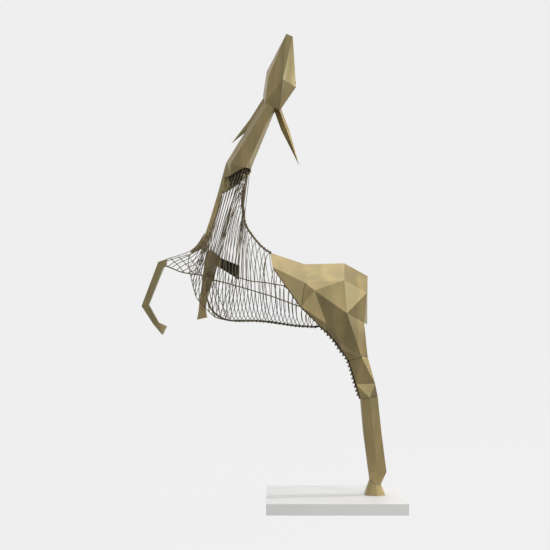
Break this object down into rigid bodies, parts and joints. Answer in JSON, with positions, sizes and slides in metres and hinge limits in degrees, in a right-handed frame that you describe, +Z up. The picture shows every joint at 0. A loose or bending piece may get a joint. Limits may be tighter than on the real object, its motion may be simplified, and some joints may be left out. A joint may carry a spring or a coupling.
{
  "type": "deer sculpture",
  "caption": "Rearing deer of folded bronze sheet with an open cage of welded wires for chest and belly, on a white plinth.",
  "frame": {"origin": "centre of the plinth's underside", "axes": "+Z up, along the figure's height; the deer faces -X; its left side, which the picture shows, faces -Y"},
  "size_m": [1.29, 0.49, 2.3555],
  "materials": {
    "bronze_sheet": "satin, folded and welded sheet",
    "bronze_wire": "dark, welded rods and wires",
    "white_paint": "matt white paint"
  },
  "bodies": {
    "root": {"plinth": "white_paint", "hindquarters_and_hind_leg": "bronze_sheet", "head_and_neck": "bronze_sheet", "near_foreleg": "bronze_sheet", "far_foreleg": "bronze_sheet", "wire_cage": "bronze_wire"}
  },
  "joints": []
}
